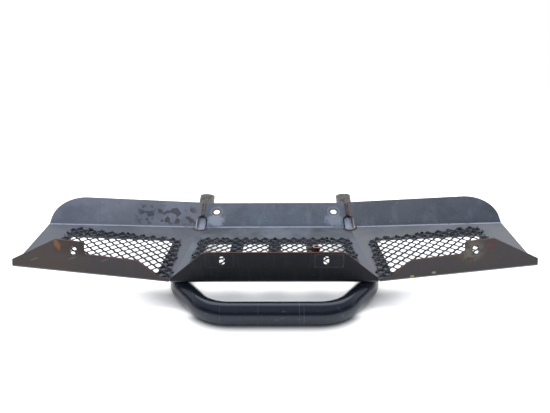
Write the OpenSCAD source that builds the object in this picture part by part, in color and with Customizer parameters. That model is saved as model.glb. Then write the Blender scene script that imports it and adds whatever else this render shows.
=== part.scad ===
// Front grille guard: three folded steel plates welded side by side over a bent tube hoop,
// with three sheets of expanded mesh behind the openings.
// The guard lies face down on its hoop. X runs across it, Y from the hoop's bar to the
// leg ends, and Z up, from the front of the guard to its back.

/* [Hoop] */
// Outside diameter of the tube
tube_d = 50.8; // [45:0.1:55]
// Wall thickness of the tube
tube_wall = 3; // [2:0.5:5]
// Distance between the centrelines of the two legs
leg_gap = 478; // [474:1:480]
// Centreline radius of the four bends of the hoop's front
hoop_r = 95; // [80:1:110]
// Length of the straight diagonals between those bends
diagonal = 75; // [50:1:100]
// Centreline radius of the bends under the ridge
bend_r = 125; // [110:1:140]
// Distance from the bar's centreline to the slotted flange
nose_reach = 89; // [85:1:100]
// Length of leg that shows past the skid flange
stub_out = 46; // [25:1:60]
// Angle of the leg ends away from a square cut
stub_cut = 25; // [0:1:30]

/* [Centre plate] */
// Thickness of the sheet steel
sheet = 4; // [3:0.5:5]
// Inside radius of the folds
fold_r = 4; // [3:0.5:5]
// Depth of the flat face between its two folds
face_depth = 366; // [355:1:380]
// Half width of the centre plate at the slotted flange
kink_front = 252; // [250:1:255]
// Half width of the centre plate at the skid flange
kink_rear = 240; // [240:0.5:241]
// Height of the slotted flange
slot_flange = 80; // [76:1:84]
// Half width of the slotted flange along its top edge
slot_flange_top = 167; // [160:1:175]

/* [Skid flange] */
// Width of the skid flange
skid_flange = 102.5; // [98:0.5:110]
// Radius of its two outer corners
skid_corner = 94; // [60:1:94]

/* [Wings] */
// Angle by which each wing leans back from the centre plate
wing_tilt = 10; // [8:1:11]
// Length of a wing along the slotted flange
wing_front = 352; // [348:1:358]
// Sweep of that edge away from the centre plate's edge
wing_front_sweep = 7.8; // [7:0.1:8.5]
// Length of a wing along the skid flange
wing_rear = 435; // [430:1:440]
// Sweep of that fold away from the centre plate's fold
wing_rear_sweep = 22.3; // [21:0.1:23]

/* [Openings] */
// Width of a window in the centre plate
window_w = 72; // [60:1:80]
// Distance from one window to the next
window_pitch = 108; // [100:1:110]
// Plate left between the slotted flange and the windows
window_front = 46; // [42:1:60]
// Plate left between the windows and the skid flange
window_rear = 132; // [125:1:140]

/* [Mesh] */
// Distance between the diamonds, both ways
mesh_pitch = 28.6; // [27.5:0.1:29]
// Width of a strand
strand = 3.6; // [3:0.1:4.5]
// Thickness of a mesh sheet
mesh_t = 2.5; // [2:0.5:3]

/* [Mounting holes] */
// Diameter of the two round holes in the skid flange
bolt_d = 20; // [12:0.5:22]
// Half the distance between the round holes
bolt_x = 195; // [185:1:200]
// Distance of the round holes from the fold
bolt_y = 64; // [58:1:70]
// Width of the four upright slots
slot_w = 13; // [9:0.5:14]
// Length of the slots over their round ends
slot_l = 22; // [18:0.5:24]
// Half the distance between the inner slots
slot_x = 123.5; // [115:0.5:130]
// Distance of the outer slots from the kink, along their flange
wing_slot_x = 220.5; // [215:0.5:225]

/* [Hidden] */
$fn = 96;

paint = "#5d6068";
gloss_paint = "#17181b";
mesh_paint = "#26282c";
weld_grey = "#7c746c";
rust = "#7a4a38";

// Room that cutting shapes take beyond what they cut
over = 1;
// Largest size that a cutting block needs
reach = 900;

// Angle of the skid flange above the face: its sine and cosine are both short decimals
skid_fold = 2 * atan(7 / 24);
// Angle between the hoop's diagonals and its legs: a sine of 0.6 and a cosine of 0.8
hoop_turn = 2 * atan(1 / 3);

tube_r = tube_d / 2;
top_z = tube_d + sheet;
outer_fold_r = fold_r + sheet;
leg_x = leg_gap / 2;
ridge_y = nose_reach + face_depth;
kink_yaw = atan((kink_front - kink_rear) / face_depth);
kink_len = norm([face_depth, kink_front - kink_rear]);

// Notches over the legs, where the bends of the tube come through
notch_r = 17;
notch_reach = 46;
notch_back = notch_reach - notch_r;
notch_foot = 28;
foot_back = notch_foot - notch_r;
seam_start = notch_back / 6;

// The legs turn up under the ridge so that they lie flat against both faces of the fold
under_ridge_y = ridge_y + sheet * tan(skid_fold / 2);
turn_y = under_ridge_y - (bend_r - tube_r) * tan(skid_fold / 2);
stub_mid = stub_out + tube_r * tan(stub_cut);
rise_len = skid_flange + stub_mid - (bend_r - tube_r) * tan(skid_fold / 2);
leg_end_y = turn_y + bend_r * sin(skid_fold) + rise_len * cos(skid_fold);
rear_y = leg_end_y + tube_r * (sin(skid_fold) + tan(stub_cut) * cos(skid_fold));
// The origin is under the middle of the guard
shift_y = (tube_r - rear_y) / 2;

// Ends of the bar, the diagonals and the straight legs, from the middle of the bar
bar_end = leg_x - diagonal * sin(hoop_turn) - hoop_r;
diagonal_from = [bar_end + hoop_r * cos(hoop_turn), hoop_r * (1 - sin(hoop_turn))];
leg_from_y = diagonal_from.y + diagonal * cos(hoop_turn) + hoop_r * sin(hoop_turn);

// Low lip that the slotted flange keeps beside the kinks, and the gap between the folds there
lip = 11.6;
relief = 2;
slot_centre = 59;
wing_slot_centre = 58.4;

// Gap between the skid flanges, which the seam weld fills
seam_gap = 3;

// Turning a direction about each axis
function turn_x(a, v) = [v.x, v.y * cos(a) - v.z * sin(a), v.y * sin(a) + v.z * cos(a)];
function turn_y_axis(a, v) = [v.x * cos(a) + v.z * sin(a), v.y, v.z * cos(a) - v.x * sin(a)];
function turn_z(a, v) = [v.x * cos(a) - v.y * sin(a), v.x * sin(a) + v.y * cos(a), v.z];
// A direction of the wing's skid flange, seen from the centre plate
function wing_dir(v) = turn_z(kink_yaw, turn_y_axis(-wing_tilt, turn_z(-wing_rear_sweep, turn_x(skid_fold, v))));
// The skid flanges of the centre plate and of a wing meet along this line
seam = cross(turn_x(skid_fold, [0, 0, 1]), wing_dir([0, 0, 1])) * -1;
seam_lean = atan2(seam.x, seam * turn_x(skid_fold, [0, 1, 0]));
wing_seam_lean = atan2(seam * wing_dir([1, 0, 0]), seam * wing_dir([0, 1, 0]));

// Outline whose corners are given as [x, y, radius]
function unit(v) = v / norm(v);
function flat(p) = [p.x, p.y];
function corner(a, b, c) =
    b.z == 0 ? [flat(b)] :
    let (
        u = unit(flat(a) - flat(b)),
        v = unit(flat(c) - flat(b)),
        half = acos(u * v) / 2,
        mid = flat(b) + unit(u + v) * b.z / sin(half),
        start = flat(b) + u * b.z / tan(half) - mid,
        finish = flat(b) + v * b.z / tan(half) - mid,
        from = atan2(start.y, start.x),
        sweep = (atan2(finish.y, finish.x) - from + 540) % 360 - 180,
        steps = ceil(6 + b.z / 5)
    )
    [for (i = [0 : steps]) mid + b.z * [cos(from + sweep * i / steps), sin(from + sweep * i / steps)]];
function rounded(pts) = [
    for (i = [0 : len(pts) - 1])
        each corner(pts[(i + len(pts) - 1) % len(pts)], pts[i], pts[(i + 1) % len(pts)])
];

// Places: the whole guard, the two sides, a wing's face and the folds
module placed() translate([0, shift_y, 0]) children();
module left_side() mirror([1, 0, 0]) children();
module kink_frame(tilt) translate([kink_front, nose_reach, top_z]) rotate([0, 0, kink_yaw]) rotate([0, -tilt, 0]) children();
module wing_frame() kink_frame(wing_tilt) children();
module front_edge() rotate([0, 0, -wing_front_sweep]) children();
module wing_ridge() wing_frame() translate([0, kink_len, 0]) rotate([0, 0, -wing_rear_sweep]) children();
module centre_ridge() translate([0, ridge_y, top_z]) children();
module raised() rotate([skid_fold, 0, 0]) children();

// Sheet steel with its back face at z = 0
module steel() translate([0, 0, -sheet]) linear_extrude(sheet) children();

// Profile run along X, with its own x along Y and its own y along Z
module along_x(length) rotate([90, 0, 90]) linear_extrude(length) children();

// Directions along the skid flange and out of its underside, seen along X
flange_up = [cos(skid_fold), sin(skid_fold)];
flange_under = [sin(skid_fold), -cos(skid_fold)];
function sharp(p) = [p.x, p.y, 0];

// Blank for a wing's front edge: some of the face, the fold and the slotted flange
front_blank_leg = 20;
blank_flange = 90;
module front_blank(length) along_x(length) polygon(rounded([
    [0, -sheet, outer_fold_r], [front_blank_leg, -sheet, 0], [front_blank_leg, 0, 0],
    [sheet, 0, fold_r], [sheet, blank_flange, 0], [0, blank_flange, 0]
]));

// Blank for a wing's rear edge: enough face for the notch, the fold and the skid flange
rear_blank_leg = 70;
module rear_blank(length) along_x(length) polygon(rounded([
    [-rear_blank_leg, -sheet, 0], [sheet * tan(skid_fold / 2), -sheet, outer_fold_r],
    sharp((skid_flange + over) * flange_up + sheet * flange_under),
    sharp((skid_flange + over) * flange_up), [0, 0, fold_r], [-rear_blank_leg, 0, 0]
]));

// What an outline cuts away from an upright flange: everything above the given points
module above_outline(points) translate([0, outer_fold_r, -sheet]) rotate([90, 0, 0])
    linear_extrude(outer_fold_r + over) polygon(rounded(concat(
        points, [[points[len(points) - 1].x, reach, 0], [points[0].x, reach, 0]]
    )));

// What is cut away beside a kink to free the folds there
module relief_cut() translate([-reach, -over, -reach / 2]) cube([reach, over + outer_fold_r + relief, reach]);

// Slot with round ends, upright in the slotted flange
module upright_slot(x, height) translate([x, -over, height - sheet]) rotate([-90, 0, 0]) {
    for (end = [-1, 1]) translate([0, end * (slot_l - slot_w) / 2, 0]) cylinder(d = slot_w, h = sheet + 2 * over);
    translate([-slot_w / 2, -(slot_l - slot_w) / 2, 0]) cube([slot_w, slot_l - slot_w, sheet + 2 * over]);
}

// Arched notch that runs back from a ridge along +Y, with straight sides as long as given
module arch(straight) {
    depth = 2 * outer_fold_r;
    translate([0, 0, -depth]) {
        translate([0, straight, 0]) cylinder(r = notch_r, h = depth + sheet);
        translate([-notch_r, -sheet, 0]) cube([2 * notch_r, straight + sheet, depth + sheet]);
    }
}
module face_notch() rotate([0, 0, 180]) arch(foot_back);
module flange_notch(lean) rotate([0, 0, lean]) arch(notch_back);

// Everything beyond the mitre between the centre plate and the right wing
module beyond_kink() kink_frame(wing_tilt / 2) translate([0, -reach / 2, -reach / 2]) cube(reach);

// The two sides of that mitre as far as the notch
module mitre_block() translate([0, -reach / 2, -reach / 2]) cube([reach, reach / 2 + kink_len + notch_back, reach]);
module beyond_mitre() kink_frame(wing_tilt / 2) mitre_block();
module before_mitre() kink_frame(wing_tilt / 2) mirror([1, 0, 0]) mitre_block();

// Ring of tube wall
module tube_ring() difference() {
    circle(tube_r);
    circle(tube_r - tube_wall);
}
module straight_tube(length) linear_extrude(length) tube_ring();
module quarter_bend(radius) rotate_extrude(angle = 90) translate([radius, 0]) tube_ring();
module part_bend(radius, angle) difference() {
    quarter_bend(radius);
    rotate([0, 0, angle]) translate([0, 0, -reach / 2]) cube(reach);
}

// Centre of the bend under the ridge, and the axis of the leg's rising end beyond it
module turn_frame() translate([leg_x, turn_y, tube_r + bend_r]) children();
module rising_leg() turn_frame() raised() translate([0, 0, -bend_r]) rotate([-90, 0, 0]) children();

module hoop_tube() color(gloss_paint) placed() {
    translate([-bar_end, 0, tube_r]) rotate([0, 90, 0]) straight_tube(2 * bar_end);
    for (side = [0, 1]) mirror([side, 0, 0]) {
        translate([bar_end, hoop_r, tube_r]) rotate([0, 0, -90]) part_bend(hoop_r, 90 - hoop_turn);
        translate([diagonal_from.x, diagonal_from.y, tube_r]) rotate([0, 0, -hoop_turn]) rotate([-90, 0, 0])
            straight_tube(diagonal);
        translate([leg_x - hoop_r, leg_from_y, tube_r]) rotate([0, 0, -hoop_turn]) part_bend(hoop_r, hoop_turn);
        translate([leg_x, leg_from_y, tube_r]) rotate([-90, 0, 0]) straight_tube(turn_y - leg_from_y);
        difference() {
            turn_frame() rotate([0, 90, 0]) quarter_bend(bend_r);
            turn_frame() raised() translate([-reach / 2, 0, -reach / 2]) cube(reach);
        }
        rising_leg() difference() {
            straight_tube(rise_len + tube_d);
            translate([0, 0, rise_len]) rotate([stub_cut, 0, 0])
                translate([-2 * tube_d, -2 * tube_d, 0]) cube(4 * tube_d);
        }
    }
}

// Centre plate
blank_half = kink_front + 20;
module centre_blank() translate([-blank_half, nose_reach, top_z]) along_x(2 * blank_half) polygon(rounded([
    [0, -sheet, outer_fold_r], [face_depth + sheet * tan(skid_fold / 2), -sheet, outer_fold_r],
    sharp([face_depth, 0] + skid_flange * flange_up + sheet * flange_under),
    sharp([face_depth, 0] + skid_flange * flange_up),
    [face_depth, 0, fold_r], [sheet, 0, fold_r], [sheet, blank_flange, 0], [0, blank_flange, 0]
]));
flange_slope = (slot_flange - lip) / (kink_front - relief - slot_flange_top);
slope_end = [kink_front + 8, lip - (relief + 8) * flange_slope];
module centre_outline() above_outline([
    [-blank_half - over, slope_end.y, 0], [-slope_end.x, slope_end.y, 0],
    [-slot_flange_top, slot_flange, 30], [slot_flange_top, slot_flange, 30],
    [slope_end.x, slope_end.y, 0], [blank_half + over, slope_end.y, 0]
]);
module beyond_seam() centre_ridge() raised() translate([kink_rear - seam_gap / 2, 0, 0])
    rotate([0, 0, -seam_lean]) translate([0, seam_start, -reach / 2]) cube(reach);
module window(x) translate([x, nose_reach + window_front, tube_d - over]) linear_extrude(sheet + 2 * over)
    polygon(rounded([
        [-window_w / 2, 0, 8], [window_w / 2, 0, 8],
        [window_w / 2, face_depth - window_front - window_rear, 8],
        [-window_w / 2, face_depth - window_front - window_rear, 8]
    ]));
module centre_plate() color(paint) placed() difference() {
    centre_blank();
    translate([0, nose_reach, top_z]) centre_outline();
    for (i = [-1.5 : 1 : 1.5]) window(i * window_pitch);
    translate([0, nose_reach, top_z]) for (side = [-1, 1]) upright_slot(side * slot_x, slot_centre);
    for (side = [0, 1]) mirror([side, 0, 0]) {
        beyond_mitre();
        beyond_seam();
        translate([kink_front - relief, nose_reach, 0]) mirror([1, 0, 0]) relief_cut();
        kink_frame(0) translate([0, kink_len, 0]) face_notch();
        centre_ridge() raised() translate([kink_rear, 0, 0]) flange_notch(-seam_lean);
        centre_ridge() raised() translate([bolt_x, bolt_y, -sheet - over]) cylinder(d = bolt_d, h = sheet + 2 * over);
    }
}

// Right wing. Its outline is given along and across each of its two folded edges.
function from_edge(x, y) = flat(turn_z(-wing_front_sweep, [x, y, 0]));
function from_ridge(x, y) = [0, kink_len] + flat(turn_z(-wing_rear_sweep, [x, y, 0]));
wing_front_end = from_edge(wing_front, 0);
wing_rear_end = from_ridge(wing_rear, 0);
wing_end = wing_rear_end - wing_front_end;
wing_end_sweep = atan2(wing_end.x, wing_end.y);
spare = 25;
face_lap = 10;
module wing_face() steel() polygon([
    from_edge(-spare, face_lap), from_edge(wing_front + spare, face_lap),
    from_ridge(wing_rear + spare, face_lap - rear_blank_leg), from_ridge(-spare, face_lap - rear_blank_leg)
]);
module wing_outline() above_outline([
    [-spare - over, lip, 0], [24, lip, 25],
    [77, 51, 30], [198, 53, 8], [198, 83, 7], [261, 83, 12],
    [wing_front + 2, 20, 4], [wing_front + over, 0, 0], [wing_front + spare + over, 0, 0]
]);
module beyond_wing_end() translate(wing_rear_end) rotate([0, 0, -wing_end_sweep])
    translate([0, -reach / 2, -reach / 2]) cube(reach);

// The skid flange's end leans in a little, and its corner is rounded right down to the fold
end_lean = cos(skid_fold) * tan(wing_rear_sweep - wing_end_sweep);
end_spare = 0.2;
module skid_outline() translate([0, 0, -sheet - over]) linear_extrude(sheet + 2 * over) polygon(rounded([
    [-2 * spare, skid_flange, 0],
    [wing_rear + end_spare - skid_flange * end_lean, skid_flange, skid_corner],
    [wing_rear + end_spare - outer_fold_r * end_lean, outer_fold_r, 0],
    [wing_rear + 2 * spare, outer_fold_r, 0],
    [wing_rear + 2 * spare, 2 * skid_flange, 0],
    [-2 * spare, 2 * skid_flange, 0]
]));
module before_seam() translate([seam_gap / 2 / cos(wing_seam_lean), 0, 0]) rotate([0, 0, -wing_seam_lean])
    translate([-reach, seam_start, -reach / 2]) cube(reach);
module wing_opening() translate([0, 0, -sheet - over]) linear_extrude(sheet + 2 * over)
    polygon(rounded([[35, 25, 8], [281, 25, 8], [287, 191, 8], [21, 239, 8]]));
module wing_plate() color(paint) difference() {
    union() {
        wing_frame() wing_face();
        wing_frame() front_edge() translate([-spare, 0, 0]) front_blank(wing_front + 2 * spare);
        wing_ridge() translate([-spare, 0, 0]) rear_blank(wing_rear + 2 * spare);
    }
    before_mitre();
    wing_frame() front_edge() {
        translate([relief, 0, 0]) relief_cut();
        wing_outline();
        wing_opening();
        upright_slot(wing_slot_x, wing_slot_centre);
    }
    wing_frame() beyond_wing_end();
    wing_frame() translate([0, kink_len, 0]) face_notch();
    wing_ridge() raised() {
        before_seam();
        flange_notch(-wing_seam_lean);
        skid_outline();
    }
}
module right_wing_plate() placed() wing_plate();
module left_wing_plate() placed() left_side() wing_plate();

// Expanded mesh, cut so that every edge leaves spikes of cut strand
mesh_side = 0.3;
mesh_end = 0.1;
centre_mesh_size = [15, 8];
wing_mesh_size = [10, 8];
wing_mesh_at = [1, 11.5];
centre_mesh_front = 32.5;
function mesh_length(size) = mesh_pitch * [size.x + 2 * mesh_side, size.y + 2 * mesh_end];
module diamond() {
    half = mesh_pitch / 2 - strand / sqrt(2);
    polygon([[-half, 0], [0, -half], [half, 0], [0, half]]);
}
module mesh_sheet(size) linear_extrude(mesh_t) difference() {
    square(mesh_length(size));
    translate(mesh_pitch * [mesh_side, mesh_end]) for (i = [0 : size.x], j = [0 : size.y]) {
        translate(mesh_pitch * [i, j]) diamond();
        translate(mesh_pitch * [i - 0.5, j - 0.5]) diamond();
        if (i == size.x) translate(mesh_pitch * [i + 0.5, j - 0.5]) diamond();
        if (j == size.y) translate(mesh_pitch * [i - 0.5, j + 0.5]) diamond();
    }
}
module centre_mesh_frame() translate([-mesh_length(centre_mesh_size).x / 2, nose_reach + centre_mesh_front, top_z]) children();
module wing_mesh_frame() wing_frame() front_edge() translate(wing_mesh_at) children();
module centre_mesh() color(mesh_paint) placed() centre_mesh_frame() mesh_sheet(centre_mesh_size);
module right_wing_mesh() color(mesh_paint) placed() wing_mesh_frame() mesh_sheet(wing_mesh_size);
module left_wing_mesh() color(mesh_paint) placed() left_side() wing_mesh_frame() mesh_sheet(wing_mesh_size);

// Tack welds where the edge of a mesh sheet lies on its plate: places along all four sides
tack_r = 5;
module mesh_tacks(size) {
    length = mesh_length(size);
    difference() {
        for (part = [0.15, 0.5, 0.85]) {
            translate([length.x * part, length.y, 0]) sphere(tack_r);
            translate([0, length.y * part, 0]) sphere(tack_r);
            translate([length.x, length.y * part, 0]) sphere(tack_r);
        }
        cube([length.x, length.y, 2 * tack_r]);
        translate([-reach / 2, -reach / 2, -reach]) cube(reach);
    }
}
module centre_mesh_tacks() color(weld_grey) placed() centre_mesh_frame() mesh_tacks(centre_mesh_size);
module right_mesh_tacks() color(weld_grey) placed() wing_mesh_frame() mesh_tacks(wing_mesh_size);
module left_mesh_tacks() color(weld_grey) placed() left_side() wing_mesh_frame() mesh_tacks(wing_mesh_size);

// Hexagon nut stuck to the mesh over the third post
nut_flats = 21;
nut_h = 11;
nut_bore = 12;
nut_at = [117, 269];
module weld_nut() color(rust) placed() translate([nut_at.x, nut_at.y, top_z + mesh_t]) difference() {
    cylinder(d = nut_flats / cos(30), h = nut_h, $fn = 6);
    translate([0, 0, -over]) cylinder(d = nut_bore, h = nut_h + 2 * over);
}

// Round bead of weld along Y
bead_r = 6;
module bead(length) rotate([-90, 0, 0]) cylinder(r = bead_r, h = length);

// Seam between the skid flanges, from the notch to the top edge
seam_r = 5;
seam_depth = 3.5;
module flange_slab() translate([0, 0, -sheet]) cube([reach / 2, skid_flange, sheet]);
module flange_slabs() {
    centre_ridge() raised() translate([kink_rear - seam_gap / 2, 0, 0]) rotate([0, 0, -seam_lean])
        mirror([1, 0, 0]) flange_slab();
    wing_ridge() raised() translate([seam_gap / 2 / cos(wing_seam_lean), 0, 0]) rotate([0, 0, -wing_seam_lean])
        flange_slab();
}
module seam_weld() difference() {
    centre_ridge() raised() translate([kink_rear, 0, 0]) rotate([0, 0, -seam_lean])
        translate([0, notch_reach + over, 0]) intersection() {
            rotate([-90, 0, 0]) cylinder(r = seam_r, h = skid_flange - notch_reach - 2 * over);
            translate([-seam_r, 0, -seam_depth]) cube([2 * seam_r, skid_flange, 2 * seam_r]);
        }
    flange_slabs();
}
module right_seam_weld() color(weld_grey) placed() seam_weld();
module left_seam_weld() color(weld_grey) placed() left_side() seam_weld();

// Bead round the foot of each notch
notch_bead_r = 3;
module quarter_bead(from) translate([0, kink_len - foot_back, 0]) rotate([0, 0, from])
    rotate_extrude(angle = 90) translate([notch_r + notch_bead_r, 0]) intersection() {
        circle(notch_bead_r);
        translate([-notch_bead_r, 0]) square([2 * notch_bead_r, notch_bead_r]);
    }
module notch_weld() {
    difference() {
        kink_frame(0) quarter_bead(180);
        beyond_kink();
    }
    intersection() {
        wing_frame() quarter_bead(270);
        beyond_kink();
    }
}
module right_notch_weld() color(weld_grey) placed() notch_weld();
module left_notch_weld() color(weld_grey) placed() left_side() notch_weld();

// Fillets that hold a leg to the face, laid as three stitches on both sides
stitch = 50;
stitch_pitch = 100;
bead_x = 14;
bead_drop = 2.8;
module above_undersides() intersection() {
    translate([-reach / 2, 0, tube_d]) cube(reach);
    wing_frame() translate([-reach / 2, -reach / 2, -sheet]) cube(reach);
}
module leg_welds() difference() {
    for (side = [-1, 1], i = [0 : 2])
        translate([leg_x + side * bead_x, leg_from_y + 8 + i * stitch_pitch, tube_d - bead_drop]) bead(stitch);
    translate([leg_x, 0, tube_r]) rotate([-90, 0, 0]) cylinder(r = tube_r, h = turn_y);
    above_undersides();
}
module right_leg_welds() color(gloss_paint) placed() leg_welds();
module left_leg_welds() color(gloss_paint) placed() left_side() leg_welds();

// Fillets that hold the rising end of a leg to the skid flanges
stub_bead = 38;
module stub_welds() difference() {
    centre_ridge() raised() translate([0, skid_flange - stub_bead - 2, -sheet]) {
        translate([leg_x - bead_x, 0, -bead_drop]) bead(stub_bead);
        translate([leg_x + bead_x - 1, 0, -1]) bead(stub_bead);
    }
    rising_leg() cylinder(r = tube_r, h = rise_len);
    flange_slabs();
}
module right_stub_welds() color(weld_grey) placed() stub_welds();
module left_stub_welds() color(weld_grey) placed() left_side() stub_welds();

hoop_tube();
centre_plate();
left_wing_plate();
right_wing_plate();
centre_mesh();
left_wing_mesh();
right_wing_mesh();
left_seam_weld();
right_seam_weld();
left_notch_weld();
right_notch_weld();
left_leg_welds();
right_leg_welds();
left_stub_welds();
right_stub_welds();
centre_mesh_tacks();
left_mesh_tacks();
right_mesh_tacks();
weld_nut();
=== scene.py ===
"""Looks for the front grille guard: expanded mesh, lumpy welds, worn paint and rust over the frame."""
import math
import random

import bmesh
import bpy
from mathutils import Matrix, Vector, noise


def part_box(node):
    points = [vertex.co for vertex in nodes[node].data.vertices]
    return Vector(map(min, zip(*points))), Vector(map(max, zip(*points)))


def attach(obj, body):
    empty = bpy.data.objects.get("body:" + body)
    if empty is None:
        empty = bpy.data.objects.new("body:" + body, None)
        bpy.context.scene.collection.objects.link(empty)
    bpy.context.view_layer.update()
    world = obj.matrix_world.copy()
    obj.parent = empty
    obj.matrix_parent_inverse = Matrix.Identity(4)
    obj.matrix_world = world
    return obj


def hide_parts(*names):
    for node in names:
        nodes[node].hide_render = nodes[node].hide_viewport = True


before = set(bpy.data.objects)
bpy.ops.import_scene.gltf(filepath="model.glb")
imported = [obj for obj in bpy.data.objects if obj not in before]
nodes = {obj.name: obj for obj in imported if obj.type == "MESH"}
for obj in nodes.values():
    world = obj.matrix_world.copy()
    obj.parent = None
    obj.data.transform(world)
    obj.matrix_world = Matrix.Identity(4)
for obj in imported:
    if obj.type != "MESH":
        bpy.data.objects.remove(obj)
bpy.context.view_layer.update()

# ---------------------------------------------------------------- places, in metres, from the frame
# Thickness of the folded plates
SHEET = 0.004
# Angle that a skid flange rises from its face, and its width up the slope
SKID_FOLD = 2 * math.atan(7 / 24)
SKID_FLANGE = 0.1025
# Distance from the middle to a kink, at the slotted flange and at the ridge
KINK_FRONT = 0.252
KINK_REAR = 0.240
# Angle that a wing rises outward, and the angles that its two long edges turn towards -Y
WING_TILT = math.radians(10)
WING_FRONT_SWEEP = math.radians(7.8)
WING_REAR_SWEEP = math.radians(22.3)
# Distance from the middle to a leg and to a round hole, and the hole's place up the skid flange
LEG_X = 0.239
HOLE_X = 0.195
HOLE_UP = 0.064

plate_low, plate_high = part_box("centre_plate")
mesh_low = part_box("centre_mesh")[0]
nut_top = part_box("weld_nut")[1].z
top_z = mesh_low.z
flange_y = plate_low.y
ridge_y = plate_high.y - SKID_FLANGE * math.cos(SKID_FOLD) - SHEET * math.sin(SKID_FOLD)
face_depth = ridge_y - flange_y
kink_yaw = math.atan((KINK_FRONT - KINK_REAR) / face_depth)
kink_length = math.hypot(face_depth, KINK_FRONT - KINK_REAR)


def turned(angle, axis):
    return Matrix.Rotation(angle, 4, axis)


centre_front_edge = Matrix.Translation((0, flange_y, top_z))
centre_flange = Matrix.Translation((0, ridge_y, top_z)) @ turned(SKID_FOLD, "X")
kink = Matrix.Translation((KINK_FRONT, flange_y, top_z)) @ turned(kink_yaw, "Z")
wing = kink @ turned(-WING_TILT, "Y")
wing_front_edge = wing @ turned(-WING_FRONT_SWEEP, "Z")
wing_ridge = wing @ Matrix.Translation((0, kink_length, 0)) @ turned(-WING_REAR_SWEEP, "Z")
wing_flange = wing_ridge @ turned(SKID_FOLD, "X")
mirror_x = Matrix.Diagonal((-1, 1, 1, 1))

# ---------------------------------------------------------------- material graphs
# Sockets of a Mix node for each kind of value: its two inputs and its output
MIX_SOCKETS = {"FLOAT": (2, 3, 0), "RGBA": (6, 7, 2)}
# Half width of the change from the left half's look to the right half's
MIDDLE = 0.01


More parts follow.
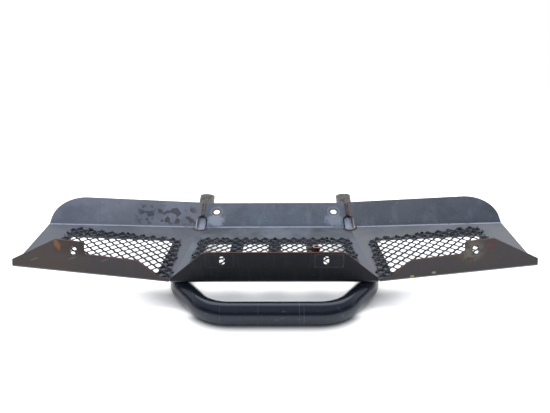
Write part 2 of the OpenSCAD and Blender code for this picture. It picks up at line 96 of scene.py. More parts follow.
class Graph:
    """A material built from nodes. Its coordinates are the guard's own, in metres."""

    def __init__(self, name):
        self.material = bpy.data.materials.new(name)
        self.material.use_nodes = True
        self.tree = self.material.node_tree
        self.tree.nodes.clear()
        self.place = self.add("TexCoord").outputs["Object"]
        split = self.add("SeparateXYZ")
        self.link(self.place, split.inputs[0])
        self.x, self.y, self.z = split.outputs

    def add(self, kind, **settings):
        node = self.tree.nodes.new("ShaderNode" + kind)
        for key, value in settings.items():
            setattr(node, key, value)
        return node

    def link(self, source, socket):
        self.tree.links.new(source, socket)

    def put(self, socket, value):
        """Links or sets a socket, from another socket, a number or a colour."""
        if isinstance(value, bpy.types.NodeSocket):
            self.link(value, socket)
        elif isinstance(value, tuple) and socket.type == "RGBA":
            socket.default_value = (*value, 1)
        else:
            socket.default_value = value

    def math(self, operation, a, b=0.0):
        node = self.add("Math", operation=operation)
        self.put(node.inputs[0], a)
        self.put(node.inputs[1], b)
        return node.outputs[0]

    def times(self, *values):
        total = values[0]
        for value in values[1:]:
            total = self.math("MULTIPLY", total, value)
        return total

    def either(self, a, b):
        return self.math("MAXIMUM", a, b)

    def apart(self, value, place=0.0):
        """How far a value is from a place, either way."""
        return self.math("ABSOLUTE", self.math("SUBTRACT", value, place))

    def length(self, a, b):
        return self.math("SQRT", self.math("ADD", self.times(a, a), self.times(b, b)))

    def roughened(self, value, ragged, amount):
        """A distance made uneven by a noise, by up to half the amount either way."""
        return self.math("ADD", value, self.times(self.math("SUBTRACT", ragged, 0.5), amount))

    def ramp(self, value, start, end, low=0.0, high=1.0):
        """A smooth step from low, at start, to high, at end."""
        node = self.add("MapRange", interpolation_type="SMOOTHSTEP")
        for socket, number in zip(node.inputs, (value, start, end, low, high)):
            self.put(socket, number)
        return node.outputs[0]

    def within(self, value, low, high, soft):
        """1 between two places, with soft ends."""
        return self.times(
            self.ramp(value, low - soft, low + soft), self.ramp(value, high + soft, high - soft)
        )

    def by_side(self, left=0.0, right=1.0):
        """One value on the left half of the guard and another on the right."""
        return self.ramp(self.x, -MIDDLE, MIDDLE, left, right)

    def blend(self, kind, factor, a, b):
        first, second, out = MIX_SOCKETS[kind]
        node = self.add("Mix", data_type=kind)
        self.put(node.inputs[0], factor)
        self.put(node.inputs[first], a)
        self.put(node.inputs[second], b)
        return node.outputs[out]

    def mix(self, factor, a, b):
        return self.blend("RGBA", factor, a, b)

    def mix_value(self, factor, a, b):
        return self.blend("FLOAT", factor, a, b)

    def over(self, color, tint, mask, strength):
        """Lays a tint over a colour where the mask is 1."""
        return self.mix(self.times(mask, strength), color, tint)

    def stretched(self, stretch, shift):
        node = self.add("Mapping")
        self.link(self.place, node.inputs[0])
        node.inputs["Location"].default_value = shift
        node.inputs["Scale"].default_value = stretch
        return node.outputs[0]

    def noise(self, size, detail=4.0, rough=0.6, stretch=(1, 1, 1), shift=(0, 0, 0), warp=0.0):
        """Noise whose bumps are about as wide as size, in metres."""
        node = self.add("TexNoise")
        self.put(node.inputs["Vector"], self.stretched(stretch, shift))
        node.inputs["Scale"].default_value = 1 / size
        node.inputs["Detail"].default_value = detail
        node.inputs["Roughness"].default_value = rough
        node.inputs["Distortion"].default_value = warp
        return node.outputs["Fac"]

    def cells(self, size, shift=(0, 0, 0)):
        """Distance from the nearest of scattered points, which are about size apart."""
        node = self.add("TexVoronoi")
        self.put(node.inputs["Vector"], self.stretched((1, 1, 1), shift))
        node.inputs["Scale"].default_value = 1 / size
        return node.outputs["Distance"]

    def in_frame(self, matrix):
        """The place seen from another frame, as three coordinates."""
        back = matrix.inverted()
        seen = []
        for row in back[:3]:
            dot = self.add("VectorMath", operation="DOT_PRODUCT")
            self.link(self.place, dot.inputs[0])
            dot.inputs[1].default_value = row[:3]
            seen.append(self.math("ADD", dot.outputs["Value"], row[3]))
        return seen

    def spot(self, u, v, centre, radii, ragged, soft=0.3):
        """1 inside a ragged ellipse on two coordinates."""
        du = self.math("DIVIDE", self.math("SUBTRACT", u, centre[0]), radii[0])
        dv = self.math("DIVIDE", self.math("SUBTRACT", v, centre[1]), radii[1])
        return self.ramp(self.roughened(self.length(du, dv), ragged, 1.4), 1 + soft, 1 - soft)

    def ring(self, u, v, centre, radius, width, ragged):
        """1 on a ragged circle on two coordinates."""
        du = self.math("SUBTRACT", u, centre[0])
        dv = self.math("SUBTRACT", v, centre[1])
        off = self.roughened(self.apart(self.length(du, dv), radius), ragged, width)
        return self.ramp(off, width, width * 0.3)

    def upward(self):
        """How far a face looks up, from -1 to 1."""
        split = self.add("SeparateXYZ")
        self.link(self.add("NewGeometry").outputs["Normal"], split.inputs[0])
        return split.outputs[2]

    def open_air(self, reach, samples):
        """1 where nothing else is within reach, falling to 0 in deep corners."""
        node = self.add("AmbientOcclusion", samples=samples)
        node.inputs["Distance"].default_value = reach
        return node.outputs["AO"]

    def edge(self, radius):
        """1 near sharp edges, where a bevelled normal turns away from the flat one."""
        bevel = self.add("Bevel", samples=6)
        bevel.inputs["Radius"].default_value = radius
        dot = self.add("VectorMath", operation="DOT_PRODUCT")
        self.link(bevel.outputs[0], dot.inputs[0])
        self.link(self.add("NewGeometry").outputs["Normal"], dot.inputs[1])
        return self.ramp(dot.outputs["Value"], 0.97, 0.75)

    def finish(self, color, roughness, metallic=0.0, specular=0.5, bumps=(), glow=None, tint=None):
        """Ends the material. bumps are pairs of a height and its depth in metres."""
        shader = self.add("BsdfPrincipled")
        self.put(shader.inputs["Base Color"], color)
        self.put(shader.inputs["Roughness"], roughness)
        self.put(shader.inputs["Metallic"], metallic)
        self.put(shader.inputs["Specular IOR Level"], specular)
        if tint is not None:
            self.put(shader.inputs["Specular Tint"], tint)
        if glow is not None:
            self.put(shader.inputs["Emission Color"], (1, 1, 1))
            self.put(shader.inputs["Emission Strength"], glow)
        normal = None
        for height, depth in bumps:
            bump = self.add("Bump")
            bump.inputs["Distance"].default_value = depth
            self.put(bump.inputs["Height"], height)
            if normal:
                self.link(normal, bump.inputs["Normal"])
            normal = bump.outputs[0]
        if normal:
            self.link(normal, shader.inputs["Normal"])
        self.link(shader.outputs[0], self.add("OutputMaterial").inputs[0])
        return self.material


# ---------------------------------------------------------------- colours
# Paint of the plates: -1 is the left wing, 0 the centre plate and 1 the right wing
SKID_BLUE = {-1: (0.172, 0.186, 0.238), 0: (0.096, 0.126, 0.174), 1: (0.058, 0.073, 0.102)}
SKID_DEEP = {-1: (0.104, 0.116, 0.156), 0: (0.050, 0.070, 0.100), 1: (0.032, 0.041, 0.060)}
FACE_GREY = {-1: (0.044, 0.054, 0.070), 0: (0.024, 0.033, 0.046), 1: (0.090, 0.096, 0.106)}
FACE_LIGHT = {-1: (0.098, 0.112, 0.136), 0: (0.128, 0.152, 0.184), 1: (0.150, 0.157, 0.170)}
WING_FRONT_PAINT = (0.050, 0.046, 0.048)
WING_FRONT_DARK = (0.046, 0.041, 0.040)
CENTRE_FRONT_PAINT = (0.0085, 0.0105, 0.0155)
CENTRE_FRONT_DARK = (0.005, 0.006, 0.008)

# Marks on the plates
RUNS = (0.072, 0.082, 0.102)
LAVENDER = (0.46, 0.49, 0.60)
WASH = (0.26, 0.29, 0.34)
NEAR_BLACK = (0.006, 0.007, 0.010)
RUST = (0.17, 0.060, 0.026)
RUST_DARK = (0.050, 0.024, 0.018)
RUST_RED = (0.13, 0.026, 0.018)
RUST_ORANGE = (0.22, 0.098, 0.045)
RUST_PATCH = (0.10, 0.045, 0.030)
BROWN = (0.085, 0.058, 0.044)
SOOT = (0.022, 0.017, 0.016)
DUST = (0.26, 0.25, 0.23)
MOSS = (0.13, 0.13, 0.085)
LICHEN = (0.26, 0.30, 0.08)
DRAB = (0.135, 0.135, 0.105)
PALE_SCUFF = (0.16, 0.125, 0.115)
PRINT_RIM = (0.13, 0.135, 0.16)
PRINT = (0.05, 0.052, 0.062)
HEAT_BROWN = (0.17, 0.15, 0.13)
HEAT_PINK = (0.150, 0.112, 0.108)

# The hoop's gloss paint and its bare ends
GLOSS = (0.010, 0.013, 0.020)
GLOSS_WORN = (0.020, 0.025, 0.036)
GLOSS_SCUFF = (0.12, 0.125, 0.15)
SCRATCH = (0.14, 0.15, 0.19)
STEEL = (0.21, 0.195, 0.17)
STEEL_BROWN = (0.11, 0.085, 0.065)
STEEL_EDGE = (0.45, 0.44, 0.41)

# The mesh and its tacks
MESH_PAINT = (0.004, 0.005, 0.008)
MESH_WORN = (0.014, 0.013, 0.016)
MESH_CUT_END = (0.27, 0.28, 0.32)
MESH_WEAR_AND_HIGHLIGHT = (0.30, 0.33, 0.41)
TACK = (0.020, 0.022, 0.028)
TACK_RUST = (0.095, 0.06, 0.045)

# Welds and the nut
WELD_GREY = (0.25, 0.24, 0.23)
WELD_TAN = (0.14, 0.10, 0.078)
WELD_PINK = (0.23, 0.125, 0.115)
WELD_RED = (0.16, 0.055, 0.045)
NUT_DARK = (0.10, 0.022, 0.016)
NUT_RED = (0.20, 0.060, 0.040)
NUT_TOP = (0.42, 0.26, 0.24)
NUT_TOP_PALE = (0.56, 0.40, 0.38)

# Slight blue of what gloss paint and mesh reflect
GLOSS_TINT = (0.80, 0.86, 1.0)
MESH_TINT = (0.80, 0.88, 1.0)

# ---------------------------------------------------------------- paint of the plates
# Radius and width of the print that a washer left round a round hole, and the stain's half sizes
WASHER_RADIUS = 0.019
WASHER_WIDTH = 0.0045
HOLE_STAIN = (0.0145, 0.0145)
# Bracket prints on the centre's slotted flange: place and half sizes, and a strength on each side
BRACKET_X = 0.130
BRACKET_UP = 0.0545
BRACKET_HALF = (0.034, 0.0165)
BRACKET_STRENGTH = {1: 0.24, -1: 0.08}
# Orange streak and pale scuffs on the left wing's slotted flange: places and half sizes.
# The streak leans outward as it rises and the scuffs run down outward, each by a slope.
STREAK_PLACE = (0.2325, 0.068)
STREAK_HALF = (0.0055, 0.013)
STREAK_SLOPE = 0.35
SCUFF_PLACES = ((0.305, 0.0235), (0.223, 0.036), (0.150, 0.040))
SCUFF_HALF = (0.0085, 0.0018)
SCUFF_SLOPE = 0.5
# Spots on the right wing's slotted flange: place, half sizes, strength and colour
RIGHT_SPOTS = (
    ((0.255, 0.063), (0.0040, 0.0055), 0.85, RUST_RED),
    ((0.076, 0.005), (0.0050, 0.0035), 0.85, LICHEN),
    ((0.126, 0.009), (0.0045, 0.0030), 0.80, DUST),
)


def skid_marks(g, color, side, u, v, ragged):
    """Stains, washer prints, and worn lines with a painted highlight along the fold, on a skid flange. u
    runs along it and v up its slope.
    """
    on = g.ramp(v, 0.002, 0.006)
    color = g.over(color, SKID_DEEP[side], g.within(v, 0.003, 0.014, 0.004), 0.45)
    wash = g.ramp(g.noise(0.06, 5, 0.62, stretch=(1.3, 0.5, 0.5), shift=(9.2, 0, 0)), 0.52, 0.72)
    color = g.over(color, WASH, g.times(wash, on), 0.26)

    # Paint worn pale along the fold, also a painted highlight of the bend, and least at the centre
    # plate's ends
    worn = g.noise(0.03, shift=(5.1, 0, 0))
    line = g.times(g.within(v, -0.0030, 0.0022, 0.0008), g.ramp(worn, 0.15, 0.5))
    if side == 0:
        line = g.times(line, g.ramp(g.apart(g.x), 0.215, 0.165, 0.25, 1.0))
    color = g.over(color, LAVENDER, line, 0.8 if side else 0.95)

    # Dried black drops on the left
    if side <= 0:
        drops = g.noise(0.017, 0.5, 0.45, stretch=(0.9, 0.75, 0.75), shift=(2.3, 1.1, 0), warp=0.25)
        field = g.within(u, 0.010, 0.195, 0.02) if side else g.within(g.x, -0.30, -0.245, 0.012)
        field = g.times(field, on, g.within(v, 0.010, 0.080, 0.010))
        color = g.over(color, NEAR_BLACK, g.times(field, g.ramp(drops, 0.515, 0.550)), 0.90)

    # A rubbed print under each round hole, and a washer's print and a stain round it
    if side == 0:
        from_hole = g.math("SUBTRACT", g.apart(g.x), HOLE_X)
        rubbed = g.times(g.spot(from_hole, v, (0.0, 0.027), (0.027, 0.024), ragged, 0.35), on)
        color = g.over(color, LAVENDER, rubbed, g.by_side(0.62, 0.42))
        for hand, stain in ((-1, RUST), (1, MOSS)):
            hole = (hand * HOLE_X, HOLE_UP)
            washer = g.ring(u, v, hole, WASHER_RADIUS, WASHER_WIDTH, ragged)
            color = g.over(color, LAVENDER, washer, 0.22)
            color = g.over(color, stain, g.spot(u, v, hole, HOLE_STAIN, ragged), 0.8)

    # Paint burnt beside the seam welds
    beside = g.ramp(u, 0.011, 0.004) if side else g.ramp(g.apart(g.x), 0.229, 0.236)
    heat = g.times(beside, on, g.ramp(v, 0.030, 0.040), g.ramp(ragged, 0.30, 0.50))
    burnt = g.mix(g.by_side(), HEAT_BROWN, HEAT_PINK)
    return g.over(color, burnt, heat, g.by_side(0.7, 0.35))


def bracket_prints(g, color, up, ragged):
    """The outlines of two brackets that sat on the centre's slotted flange."""
    for hand, strength in BRACKET_STRENGTH.items():
        du = g.math("SUBTRACT", g.apart(g.x, hand * BRACKET_X), BRACKET_HALF[0])
        dv = g.math("SUBTRACT", g.apart(up, BRACKET_UP), BRACKET_HALF[1])
        off = g.roughened(g.either(du, dv), ragged, 0.004)
        rim = g.times(g.ramp(g.apart(off), 0.0024, 0.0006), g.ramp(ragged, 0.35, 0.55))
        color = g.over(color, PRINT_RIM, rim, strength)
        color = g.over(color, PRINT, g.ramp(off, 0.001, -0.002), strength * 0.35)
    return color


def left_front_marks(g, color, u, up, ragged):
    """Soot on the left wing's tab, brown towards its tip, a rust streak and pale scuffs."""
    tab = g.times(g.within(u, 0.155, 0.262, 0.012), g.ramp(up, 0.040, 0.055))
    color = g.over(color, SOOT, g.times(tab, g.ramp(ragged, 0.2, 0.5)), 0.7)
    color = g.over(color, BROWN, g.ramp(u, 0.17, 0.25), 0.35)
    leaning = g.math("SUBTRACT", u, g.times(up, STREAK_SLOPE))
    color = g.over(color, RUST_ORANGE, g.spot(leaning, up, STREAK_PLACE, STREAK_HALF, ragged, 0.5), 0.75)
    running = g.math("ADD", up, g.times(u, SCUFF_SLOPE))
    for along, height in SCUFF_PLACES:
        at = (along, height + along * SCUFF_SLOPE)
        color = g.over(color, PALE_SCUFF, g.spot(u, running, at, SCUFF_HALF, ragged, 0.5), 0.5)
    return color


def right_front_marks(g, color, u, up, ragged):
    """A drab and rusty patch on the right wing's tab, and small bright spots."""
    near = g.spot(u, up, (0.212, 0.055), (0.026, 0.026), ragged, 0.5)
    color = g.over(color, DRAB, g.times(near, g.ramp(ragged, 0.40, 0.55)), 0.75)
    patch = g.spot(u, up, (0.226, 0.055), (0.044, 0.030), ragged, 0.6)
    color = g.over(color, RUST_PATCH, g.times(patch, g.ramp(ragged, 0.50, 0.40)), 0.5)
    for place, half, strength, tint in RIGHT_SPOTS:
        color = g.over(color, tint, g.spot(u, up, place, half, ragged), strength)
    return color


def front_paint(g, side, u, up, ragged):
    """Dark paint of a slotted flange, with its runs and marks. u runs along it."""
    paint, dark = (WING_FRONT_PAINT, WING_FRONT_DARK) if side else (CENTRE_FRONT_PAINT, CENTRE_FRONT_DARK)
    color = g.mix(g.ramp(up, 0.055, 0.0, 0.0, 0.75), paint, dark)
    runs = g.noise(0.010, stretch=(1, 1, 0.2), shift=(0, 4.0, 0))
    color = g.over(color, RUNS, g.ramp(runs, 0.45, 0.7), 0.07)
    if side < 0:
        return left_front_marks(g, color, u, up, ragged)
    if side > 0:
        return right_front_marks(g, color, u, up, ragged)
    return bracket_prints(g, color, up, ragged)


def plate_paint(side):
    """Worn satin paint, with painted shade in corners and under the mesh and a painted highlight along
    the fold. side is 0 for the centre plate, -1 or 1 for a wing.
    """
    g = Graph("plate_paint_" + {0: "centre", -1: "left", 1: "right"}[side])
    hand = mirror_x if side < 0 else Matrix()
    u, v, _ = g.in_frame(hand @ wing_flange if side else centre_flange)
    across, back, up = g.in_frame(hand @ wing_front_edge if side else centre_front_edge)
    patchy = g.noise(0.09, 5, shift=(side * 3.1, 0, 0))
    fine = g.noise(0.006)
    grain = g.noise(0.0012, 2, 0.5)
    ragged = g.noise(0.012, 5, shift=(1.7, 0.3, 0))

    # The three surfaces: face, skid flange and slotted flange
    on_skid = g.ramp(v, 0.0, 0.003)
    on_front = g.times(g.ramp(back, 0.0075, 0.0055), g.ramp(up, 0.0005, 0.003))
    lighter = g.either(g.ramp(patchy, 0.35, 0.7), g.ramp(back, 0.33, 0.20, 0.0, 0.8))
    face = g.mix(lighter, FACE_GREY[side], FACE_LIGHT[side])
    skid = g.mix(g.ramp(patchy, 0.3, 0.65), SKID_DEEP[side], SKID_BLUE[side])
    color = skid_marks(g, g.mix(on_skid, face, skid), side, u, v, ragged)
    color = g.mix(on_front, color, front_paint(g, side, across, up, ragged))

    # Rusty edges on the slotted flange, painted shade in corners and under the mesh, and pale edges on
    # the skid flange
    bare = g.times(g.edge(0.0022), g.ramp(fine, 0.35, 0.55))
    color = g.over(color, RUST, g.times(bare, on_front), 0.8)
    top_edge = g.times(g.ramp(g.upward(), 0.5, 0.8), on_front, g.ramp(up, 0.012, 0.020))
    color = g.over(color, RUST, top_edge, 0.75)
    # Painted shade: near black wherever other surfaces are close, in corners and beneath the mesh
    color = g.mix(g.ramp(g.open_air(0.024, 8), 0.96, 0.55, 0.0, 0.95), color, NEAR_BLACK)
    color = g.over(color, LAVENDER, g.times(bare, on_skid), 0.55)

    # Rust specks, chips and dust
    specks = g.times(g.ramp(g.cells(0.035, shift=(0.4, 0, 0)), 0.10, 0.06), g.ramp(patchy, 0.45, 0.6))
    color = g.over(color, RUST_DARK, specks, 0.6)
    chips = g.times(g.ramp(g.cells(0.024, shift=(0.9, 0, 0)), 0.075, 0.045), on_skid)
    color = g.over(color, LAVENDER, g.times(chips, g.ramp(patchy, 0.45, 0.55)), 0.65)
    color = g.over(color, DUST, g.ramp(fine, 0.52, 0.75), g.ramp(on_front, 0.0, 1.0, 0.16, 0.02))

    rough = g.mix_value(on_front, g.ramp(fine, 0.3, 0.7, 0.34, 0.46), 0.55)
    shine = g.mix_value(on_front, 0.5, 0.20)
    return g.finish(color, rough, specular=shine, bumps=((grain, 0.00004), (fine, 0.00025)))


# ---------------------------------------------------------------- other materials
# Scratches round the hoop's bar: place along X and half width
BAR_SCRATCHES = ((0.0553, 0.0010), (0.0651, 0.0008), (-0.0344, 0.0007), (-0.118, 0.0006))
# How far in front of the slotted flange the bar starts
BAR_BEFORE = 0.05
# Distance up the skid flange at which the legs' paint ends
PAINT_END = 0.088
# Wavelength of the ripples along a weld, and the size of its blobs
RIPPLE = 0.0045


def gloss_black():
    """The hoop's gloss paint, which is rubbed and painted lighter as a highlight where it shows in the
    notches, and gone on its ends.
    """
    g = Graph("gloss_black")
    v = g.in_frame(centre_flange)[1]
    fine = g.noise(0.004)
    ragged = g.noise(0.010, 5)
    patchy = g.noise(0.05)
    color = g.mix(g.ramp(fine, 0.55, 0.75), GLOSS, GLOSS_WORN)
    scuffs = g.ramp(g.noise(0.018, 6, 0.7, stretch=(0.35, 1, 1), shift=(7, 0, 0)), 0.60, 0.68)
    color = g.over(color, GLOSS_SCUFF, g.times(scuffs, g.ramp(patchy, 0.45, 0.6)), 0.5)
    on_bar = g.ramp(g.y, flange_y - BAR_BEFORE, flange_y - BAR_BEFORE - 0.01)
    for place, width in BAR_SCRATCHES:
        line = g.times(g.ramp(g.apart(g.x, place), width, width * 0.4), on_bar)
        color = g.over(color, SCRATCH, g.times(line, g.ramp(ragged, 0.42, 0.58)), 0.4)
    # Rubbed paint and a painted highlight where the tube shows in the notches
    near_ridge = g.ramp(g.apart(g.y, ridge_y), 0.045, 0.030)
    on_leg = g.ramp(g.apart(g.apart(g.x), LEG_X), 0.0125, 0.0095)
    notch_wear_and_highlight = g.times(near_ridge, g.ramp(g.z, 0.046, 0.050), on_leg)
    color = g.over(color, WASH, notch_wear_and_highlight, g.ramp(ragged, 0.25, 0.45))

    bare = g.ramp(g.roughened(v, ragged, 0.01), PAINT_END, PAINT_END + 0.006)
    steel = g.mix(g.ramp(ragged, 0.4, 0.65), STEEL, STEEL_BROWN)
    steel = g.over(steel, STEEL_EDGE, g.edge(0.0015), 0.8)
    color = g.mix(bare, color, steel)
    rough = g.mix_value(g.either(bare, g.times(notch_wear_and_highlight, 0.3)), g.ramp(fine, 0.3, 0.7, 0.17, 0.25), 0.6)
    bumps = ((fine, 0.00003), (g.times(bare, ragged), 0.0006))
    return g.finish(color, rough, bumps=bumps, specular=0.42, tint=GLOSS_TINT)


def mesh_black():
    """The mesh's paint: pale cut ends, worn spots and a painted highlight on its upward faces, and a
    corroded patch left of the nut.
    """
    g = Graph("mesh_black")
    fine = g.noise(0.004)
    cut_ends = g.add("Attribute", attribute_name="rust").outputs["Fac"]
    color = g.mix(g.times(g.ramp(g.noise(0.05, 5, 0.65), 0.48, 0.66), 0.6), MESH_PAINT, MESH_WORN)
    color = g.over(color, MESH_CUT_END, cut_ends, 0.8)
    # Worn spots and a painted highlight: pale speckles on the faces that look up
    rubbed = g.ramp(g.noise(0.006, 2, 0.5, shift=(3, 0, 0)), 0.54, 0.62)
    color = g.over(color, MESH_WEAR_AND_HIGHLIGHT, g.times(g.ramp(g.upward(), 0.35, 0.7), rubbed), 0.6)
    corroded = g.spot(g.x, g.y, (0.092, flange_y + 0.193), (0.014, 0.022), fine)
    color = g.over(color, MOSS, corroded, 0.85)
    return g.finish(color, g.ramp(fine, 0.3, 0.7, 0.24, 0.42), bumps=((fine, 0.0003),), tint=MESH_TINT)


def weld_metal():
    """Bare beads, grey on the left and pink with rust on the right."""
    g = Graph("weld_metal")
    v = g.in_frame(centre_flange)[1]
    fine = g.noise(0.003)
    blobs = g.cells(RIPPLE)
    grey = g.mix(g.ramp(fine, 0.4, 0.65), WELD_GREY, WELD_TAN)
    pink = g.mix(g.ramp(fine, 0.4, 0.65), WELD_PINK, WELD_RED)
    color = g.mix(g.by_side(), grey, pink)
    color = g.mix(g.ramp(blobs, 0.50, 0.85, 0.0, 0.7), color, RUST_DARK)
    ripple = g.math("SINE", g.times(g.math("ADD", v, g.times(fine, 0.004)), 2 * math.pi / RIPPLE))
    return g.finish(color, 0.5, metallic=0.25, bumps=((ripple, 0.0006), (blobs, 0.0008), (fine, 0.0008)))


def bond_paint():
    """The paint that ran over the mesh's tacks."""
    g = Graph("bond_paint")
    fine = g.noise(0.003)
    color = g.mix(g.ramp(fine, 0.45, 0.65), TACK, TACK_RUST)
    return g.finish(color, 0.5, bumps=((fine, 0.0010),))


def rusty_nut():
    g = Graph("rusty_nut")
    fine = g.noise(0.003)
    side = g.mix(g.ramp(fine, 0.35, 0.65), NUT_DARK, NUT_RED)
    top = g.mix(g.ramp(fine, 0.35, 0.65), NUT_TOP, NUT_TOP_PALE)
    color = g.mix(g.ramp(g.z, nut_top - 0.0012, nut_top - 0.0003), side, top)
    return g.finish(color, 0.8, bumps=((fine, 0.0012),))


def give(material, names):
    for name in names:
        slots = nodes[name].data.materials
        slots.clear()
        slots.append(material)


def lumpy(names, voxel, width, height):
    """Real lumps on the surface of a bead, about a width wide and half a height up and down."""
    texture = bpy.data.textures.new("lumps", "CLOUDS")
    texture.noise_scale = width
    texture.noise_depth = 1
    for name in names:
        skin = nodes[name].modifiers.new("skin", "REMESH")
        skin.mode = "VOXEL"
        skin.voxel_size = voxel
        skin.use_smooth_shade = True
        lumps = nodes[name].modifiers.new("lumps", "DISPLACE")
        lumps.texture = texture
        lumps.texture_coords = "GLOBAL"
        lumps.strength = height
        lumps.mid_level = 0.5


bare_beads = [name for name in nodes if name.endswith(("seam_weld", "notch_weld", "stub_welds"))]
leg_beads = ["left_leg_welds", "right_leg_welds"]
give(plate_paint(0), ["centre_plate"])
give(plate_paint(-1), ["left_wing_plate"])
give(plate_paint(1), ["right_wing_plate"])
give(gloss_black(), ["hoop_tube"] + leg_beads)
give(weld_metal(), bare_beads)
give(bond_paint(), [name for name in nodes if name.endswith("mesh_tacks")])
give(rusty_nut(), ["weld_nut"])
lumpy(bare_beads, voxel=0.0010, width=0.0035, height=0.0022)
lumpy(leg_beads, voxel=0.0016, width=0.0045, height=0.0018)
lumpy(["weld_nut"], voxel=0.0007, width=0.0030, height=0.0009)

# ---------------------------------------------------------------- expanded mesh
# Spacing of the holes, and the strip of mesh outside the outermost ones
MESH_PITCH = 0.0286
MESH_MARGIN = Vector((0.3, 0.1)) * MESH_PITCH
# Section of a strand, and how many steps it is swept in
STRAND_WIDTH = 0.0043
STRAND_THICK = 0.0023
STRAND_STEPS = 8
SECTION = ((-1, -1), (1, -1), (1, 1), (-1, 1))
# Share of a strand's rise that is straight; the rest is an S
STRAIGHT_SHARE = 0.12
# Lean of a strand at its bonds and the extra in its middle, in degrees
STRAND_LEAN = 40
MIDDLE_LEAN = 18
# Height of the strands over the face, and the size and closeness of the sheet's waves
LIFT = 0.0034
WAVE_HEIGHT = 0.0012
WAVES_PER_METRE = 14
# How far a cut end may bend up, as shares of the most
END_BEND = 0.0050
BEND_SHARES = (-0.1, 1.0)
# How ragged the cut edges are, as shares of the margin
RAGGED_X = 0.4
RAGGED_Y = 0.2


def strand_point(start, end, t):
    """A strand leaves and meets its bonds along X, with a diagonal between them."""
    ease = t * t * (3 - 2 * t)
    rise = STRAIGHT_SHARE * t + (1 - STRAIGHT_SHARE) * ease
    return Vector((start.x + (end.x - start.x) * t, start.y + (end.y - start.y) * rise, 0))


def sweep(bm, rust, points, leans, ends):
    """A strand with a rectangular section along points, with its free end's rust on its corners."""
    rings = []
    for i, point in enumerate(points):
        ahead = points[min(i + 1, len(points) - 1)] - points[max(i - 1, 0)]
        ahead.normalize()
        twist = Matrix.Rotation(leans[i], 3, ahead)
        across = twist @ Vector((0, 0, 1)).cross(ahead) * STRAND_WIDTH / 2
        up = twist @ Vector((0, 0, 1)) * STRAND_THICK / 2
        ring = []
        for a, b in SECTION:
            corner = bm.verts.new(point + a * across + b * up)
            corner[rust] = ends[i]
            ring.append(corner)
        rings.append(ring)
    for one, two in zip(rings, rings[1:]):
        for k in range(4):
            bm.faces.new((one[k], one[(k + 1) % 4], two[(k + 1) % 4], two[k]))
    bm.faces.new(rings[0][::-1])
    bm.faces.new(rings[-1])


def strand(bm, rust, rng, size, seed, start, end):
    """A strand between two bonds, cut off where it leaves the sheet, with its cut end bent."""
    reach = [rng.uniform(-0.5, 0.5) * MESH_MARGIN.x for _ in range(4)]
    low = (reach[0] * RAGGED_X, reach[2] * RAGGED_Y)
    high = (size.x + reach[1] * RAGGED_X, size.y + reach[3] * RAGGED_Y)
    kept = []
    for step in range(STRAND_STEPS + 1):
        t = step / STRAND_STEPS
        point = strand_point(start, end, t)
        if low[0] <= point.x <= high[0] and low[1] <= point.y <= high[1]:
            kept.append((t, point))
    if len(kept) < 2:
        return
    cut_start = kept[0][0] > 0
    cut_end = kept[-1][0] < 1
    bend = rng.uniform(*BEND_SHARES) * END_BEND
    uphill = 1 if end.y > start.y else -1
    points, leans, ends = [], [], []
    for t, point in kept:
        free = (t if cut_end else 1 - t) if (cut_start or cut_end) else 0
        wave = noise.noise(Vector((point.x * WAVES_PER_METRE, point.y * WAVES_PER_METRE, seed)))
        points.append(point + Vector((0, 0, LIFT + WAVE_HEIGHT * wave + bend * free * free)))
        leans.append(uphill * math.radians(STRAND_LEAN + MIDDLE_LEAN * math.sin(math.pi * t)))
        ends.append(free * free)
    sweep(bm, rust, points, leans, ends)


def expanded_mesh(name, node, at, holes_x, holes_y):
    """A cut sheet of expanded mesh, whose low corner is at the origin of the frame at."""
    rng = random.Random(name)
    size = Vector((holes_x * MESH_PITCH, holes_y * MESH_PITCH)) + 2 * MESH_MARGIN
    bm = bmesh.new()
    rust = bm.verts.layers.float.new("rust")
    half = MESH_PITCH / 2
    for i in range(-1, holes_x + 2):
        for j in range(-1, holes_y + 2):
            middle = MESH_MARGIN + Vector((i, j)) * MESH_PITCH
            right = Vector((middle.x + half, middle.y, 0))
            left = Vector((middle.x - half, middle.y, 0))
            above = Vector((middle.x, middle.y + half, 0))
            below = Vector((middle.x, middle.y - half, 0))
            for start, end in ((left, above), (above, right), (left, below), (below, right)):
                strand(bm, rust, rng, size, len(name), start, end)
    data = bpy.data.meshes.new(name)
    bm.to_mesh(data)
    bm.free()
    data.transform(at)
    if at.determinant() < 0:
        data.flip_normals()
    data.materials.append(mesh_steel)
    piece = bpy.data.objects.new(name, data)
    bpy.context.scene.collection.objects.link(piece)
    bevel = piece.modifiers.new("worn_edges", "BEVEL")
    bevel.width = 0.0004
    bevel.segments = 1
    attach(piece, "root")
    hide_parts(node)


mesh_steel = mesh_black()
centre_mesh_at = Matrix.Translation(mesh_low)
wing_mesh_at = wing_front_edge @ Matrix.Translation((0.001, 0.0115, 0))
expanded_mesh("centre_expanded_mesh", "centre_mesh", centre_mesh_at, 15, 8)
expanded_mesh("right_expanded_mesh", "right_wing_mesh", wing_mesh_at, 10, 8)
expanded_mesh("left_expanded_mesh", "left_wing_mesh", mirror_x @ wing_mesh_at, 10, 8)

# ---------------------------------------------------------------- floor, light and camera
FLOOR_SIZE = 12
FLOOR_GLOW = 1.05
FLOOR_WARM = (0.90, 0.88, 0.84)
FLOOR_PALE = (0.92, 0.90, 0.86)
# Reach of the close shadow and of the soft one
NEAR_REACH = 0.07
FAR_REACH = 0.16
# The soft shadow lies from before the slotted flange to behind it, and fades along the wings
STRIP_BEFORE = -0.045
STRIP_BEHIND = 0.055
STRIP_DEPTH = 0.75
WING_FADE = (0.36, 0.20)

SKY_BACK = (1.0, 1.0, 1.0)
SKY_FRONT = (0.045, 0.05, 0.07)
SKY_TOP = (0.62, 0.68, 0.80)

CAMERA_PLACE = Vector((0.0086, flange_y - 0.8861, 0.5339))
CAMERA_PITCH = math.radians(18.086)
CAMERA_YAW = math.radians(0.383)
CAMERA_ROLL = math.radians(0.258)
SENSOR_MM = 36
LENS_MM = 27.0327


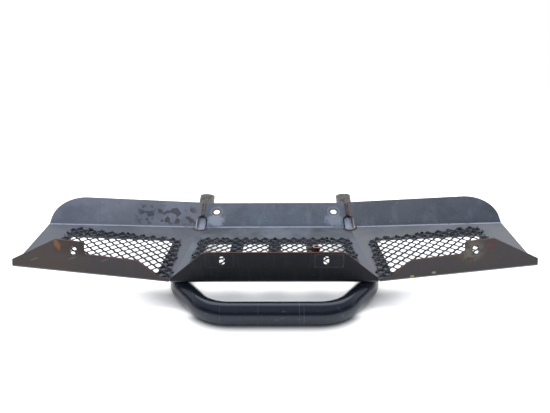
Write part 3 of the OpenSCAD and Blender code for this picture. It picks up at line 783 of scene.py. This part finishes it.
def studio():
    """A white table that glows, with painted shadows: its glow dims where the guard stands close over it
    and in a strip under the slotted flanges.
    """
    bm = bmesh.new()
    bmesh.ops.create_grid(bm, x_segments=1, y_segments=1, size=FLOOR_SIZE)
    data = bpy.data.meshes.new("studio_floor")
    bm.to_mesh(data)
    bm.free()
    floor = bpy.data.objects.new("studio_floor", data)
    bpy.context.scene.collection.objects.link(floor)

    g = Graph("studio_floor")
    # Painted shadows: the floor's glow is cut where the guard is close above it
    near = g.open_air(NEAR_REACH, 24)
    far = g.open_air(FAR_REACH, 24)
    outside = g.either(g.math("SUBTRACT", g.apart(g.x), KINK_FRONT), 0.0)
    swept = g.times(outside, math.tan(WING_FRONT_SWEEP))
    behind = g.math("SUBTRACT", g.math("SUBTRACT", g.y, flange_y), swept)
    # Painted soft shadow strip under the slotted flanges, placed by position
    strip = g.within(behind, STRIP_BEFORE, STRIP_BEHIND, 0.03)
    strip = g.times(strip, g.ramp(outside, *WING_FADE, 0.35, 1.0))
    dim = g.times(strip, g.ramp(far, 0.92, 0.45), STRIP_DEPTH)
    # Painted contact shadow, sharper, in front of the bar
    by_bar = g.ramp(behind, -0.05, -0.075)
    close = g.mix_value(by_bar, g.ramp(near, 0.05, 0.55), g.ramp(near, 0.20, 1.0))
    glow = g.times(close, g.math("SUBTRACT", 1.0, dim), FLOOR_GLOW)
    white = g.mix(g.noise(0.5, 2, 0.5), FLOOR_WARM, FLOOR_PALE)
    data.materials.append(g.finish(white, 0.9, specular=0.05, glow=glow))


def softbox(name, place, target, size, power, color):
    data = bpy.data.lights.new(name, "AREA")
    data.shape = "RECTANGLE"
    data.size, data.size_y = size
    data.energy = power
    data.color = color
    lamp = bpy.data.objects.new(name, data)
    bpy.context.scene.collection.objects.link(lamp)
    lamp.location = place
    lamp.rotation_euler = (Vector(target) - Vector(place)).to_track_quat("-Z", "Y").to_euler()


def sky():
    """White behind the guard, dim behind the camera, pale blue overhead."""
    world = bpy.data.worlds.new("studio_world")
    bpy.context.scene.world = world
    world.use_nodes = True
    tree = world.node_tree
    split = tree.nodes.new("ShaderNodeSeparateXYZ")
    tree.links.new(tree.nodes.new("ShaderNodeTexCoord").outputs["Generated"], split.inputs[0])

    def blend(source, start, end, a, b):
        ramp = tree.nodes.new("ShaderNodeMapRange")
        ramp.interpolation_type = "SMOOTHSTEP"
        tree.links.new(source, ramp.inputs[0])
        ramp.inputs[1].default_value = start
        ramp.inputs[2].default_value = end
        mix = tree.nodes.new("ShaderNodeMix")
        mix.data_type = "RGBA"
        tree.links.new(ramp.outputs[0], mix.inputs[0])
        first, second, out = MIX_SOCKETS["RGBA"]
        for index, value in ((first, a), (second, b)):
            if isinstance(value, tuple):
                mix.inputs[index].default_value = (*value, 1)
            else:
                tree.links.new(value, mix.inputs[index])
        return mix.outputs[out]

    level = blend(split.outputs[1], -0.35, 0.35, SKY_FRONT, SKY_BACK)
    above = blend(split.outputs[2], 0.08, 0.20, SKY_BACK, level)
    color = blend(split.outputs[2], 0.45, 0.80, above, SKY_TOP)
    tree.links.new(color, tree.nodes["Background"].inputs["Color"])


def photo_camera():
    data = bpy.data.cameras.new("photo_camera")
    data.sensor_width = SENSOR_MM
    data.lens = LENS_MM
    camera = bpy.data.objects.new("photo_camera", data)
    bpy.context.scene.collection.objects.link(camera)
    look = turned(CAMERA_YAW, "Z") @ turned(math.pi / 2 - CAMERA_PITCH, "X") @ turned(-CAMERA_ROLL, "Z")
    camera.matrix_world = Matrix.Translation(CAMERA_PLACE) @ look
    bpy.context.scene.camera = camera


studio()
sky()
softbox("top_softbox", (0.0, 1.3, 2.4), (0, 0.1, 0), size=(3.2, 1.6), power=40, color=(0.94, 0.96, 1.0))
photo_camera()
bpy.context.scene.view_settings.view_transform = "Standard"
